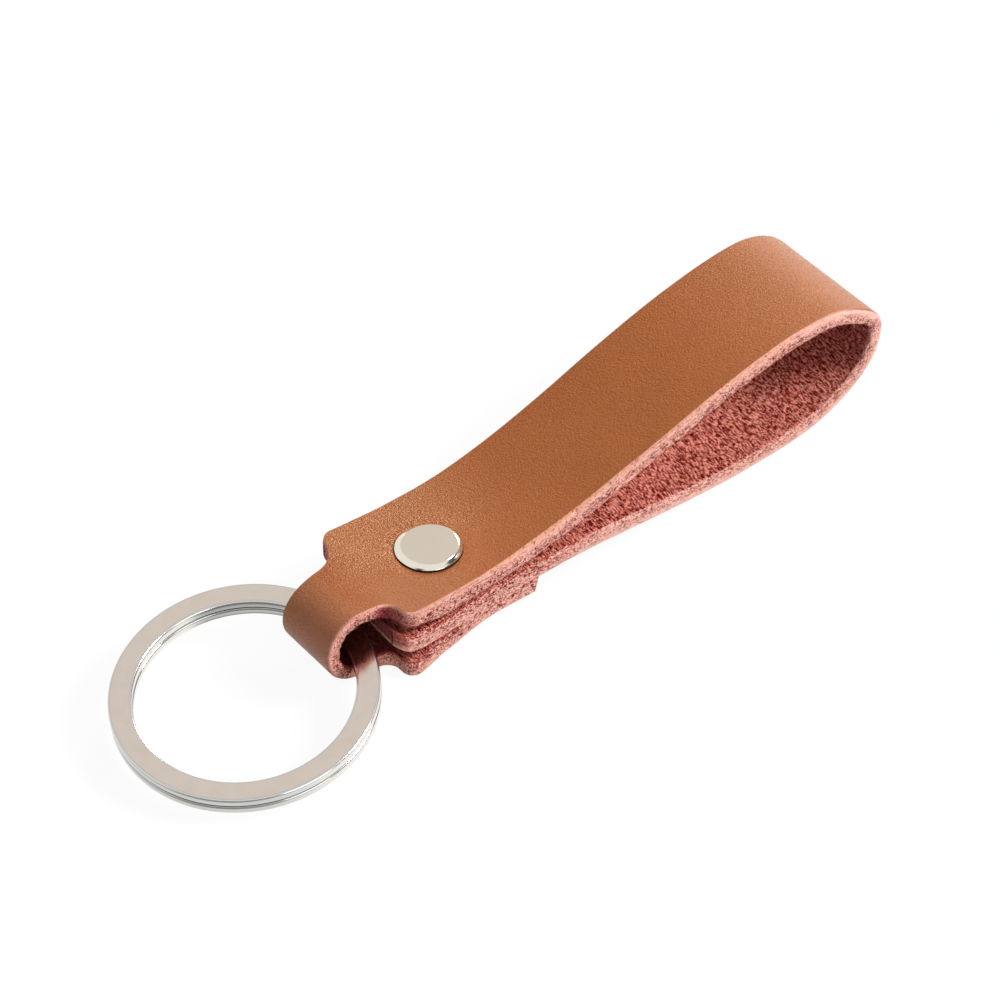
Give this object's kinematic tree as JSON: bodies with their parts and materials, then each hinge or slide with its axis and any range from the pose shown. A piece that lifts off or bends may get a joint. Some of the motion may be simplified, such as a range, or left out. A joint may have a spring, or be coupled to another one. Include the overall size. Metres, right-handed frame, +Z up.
{
  "type": "leather key fob with split ring",
  "caption": "Folded leather loop clamped by a double cap rivet, with a flat split ring hanging in its narrow folded neck.",
  "frame": {"origin": "bottom centre of the bounding box, on the table that the keychain lies on", "axes": "+X along the strap towards the tip of the finger loop, +Y across the strap, +Z up, away from the table"},
  "size_m": [0.1008, 0.03, 0.0155],
  "materials": {
    "tan_leather": "pebbled grain, raw cut edges",
    "nickel_plate": "polished",
    "rivet_nickel": "polished"
  },
  "bodies": {
    "leather_loop": {"leather_strap": "tan_leather", "rivet_front_cap": "rivet_nickel", "rivet_socket": "rivet_nickel", "rivet_post": "rivet_nickel", "rivet_rear_cap": "rivet_nickel"},
    "ring": {"split_ring": "nickel_plate"}
  },
  "joints": [
    {"name": "ring_swing", "type": "hinge", "parent": "leather_loop", "child": "ring", "pos_m": [-0.02218, 0.00034, 0.00559], "axis": [0, 1, 0], "range_deg": [-95, 150]}
  ]
}
